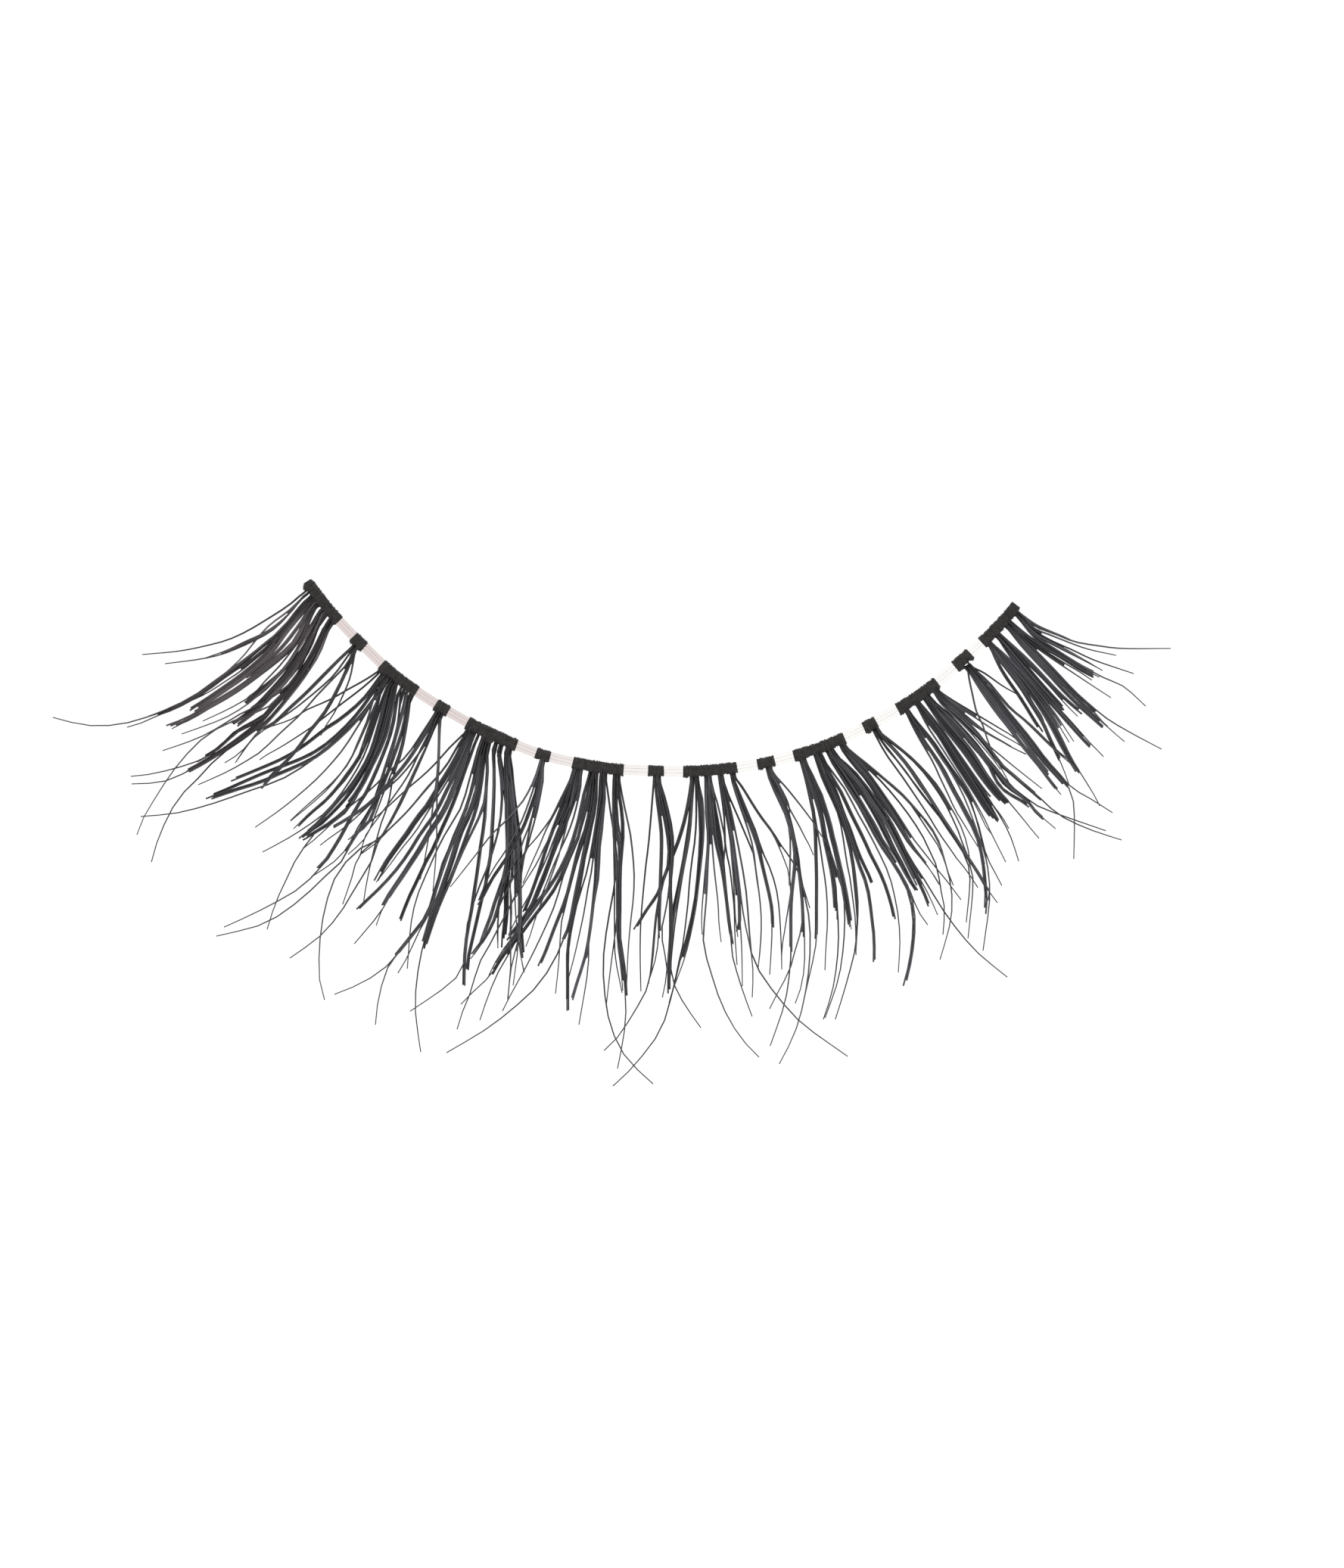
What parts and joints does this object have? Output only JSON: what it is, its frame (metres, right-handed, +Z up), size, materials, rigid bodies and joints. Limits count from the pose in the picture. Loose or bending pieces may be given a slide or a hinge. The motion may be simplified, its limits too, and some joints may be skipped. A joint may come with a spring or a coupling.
{
  "type": "false eyelash strip",
  "caption": "Curved false eyelash strip: tufts of curled black hair knotted on clear threads with black thread blocks and small knots.",
  "frame": {"origin": "middle of the underside of the middle small knot, on the surface that the strip lies on", "axes": "+X along the strip, +Y towards the centre that the band curves round, +Z up from the surface, the way the hair curls; the hair leaves the band towards -Y"},
  "size_m": [0.0446, 0.0199, 0.0051],
  "materials": {
    "clear_thread": "fine clear nylon thread, slightly glossy",
    "black_thread": "matt black thread, tightly wound and a little fuzzy",
    "lash_hair": "black synthetic hair with a soft bluish sheen"
  },
  "bodies": {
    "root": {"thread_1": "clear_thread", "thread_2": "clear_thread", "thread_3": "clear_thread", "knot_block_1": "black_thread", "knot_block_2": "black_thread", "knot_block_3": "black_thread", "knot_block_4": "black_thread", "knot_block_5": "black_thread", "knot_block_6": "black_thread", "knot_block_7": "black_thread", "knot_block_8": "black_thread", "knot_single_1": "black_thread", "knot_single_2": "black_thread", "knot_single_3": "black_thread", "knot_single_4": "black_thread", "knot_single_5": "black_thread", "knot_single_6": "black_thread", "knot_single_7": "black_thread", "tuft_block_1": "lash_hair", "tuft_block_2": "lash_hair", "tuft_block_3": "lash_hair", "tuft_block_4": "lash_hair", "tuft_block_5": "lash_hair", "tuft_block_6": "lash_hair", "tuft_block_7": "lash_hair", "tuft_block_8": "lash_hair", "tuft_single_1": "lash_hair", "tuft_single_2": "lash_hair", "tuft_single_3": "lash_hair", "tuft_single_4": "lash_hair", "tuft_single_5": "lash_hair", "tuft_single_6": "lash_hair", "tuft_single_7": "lash_hair"}
  },
  "joints": []
}
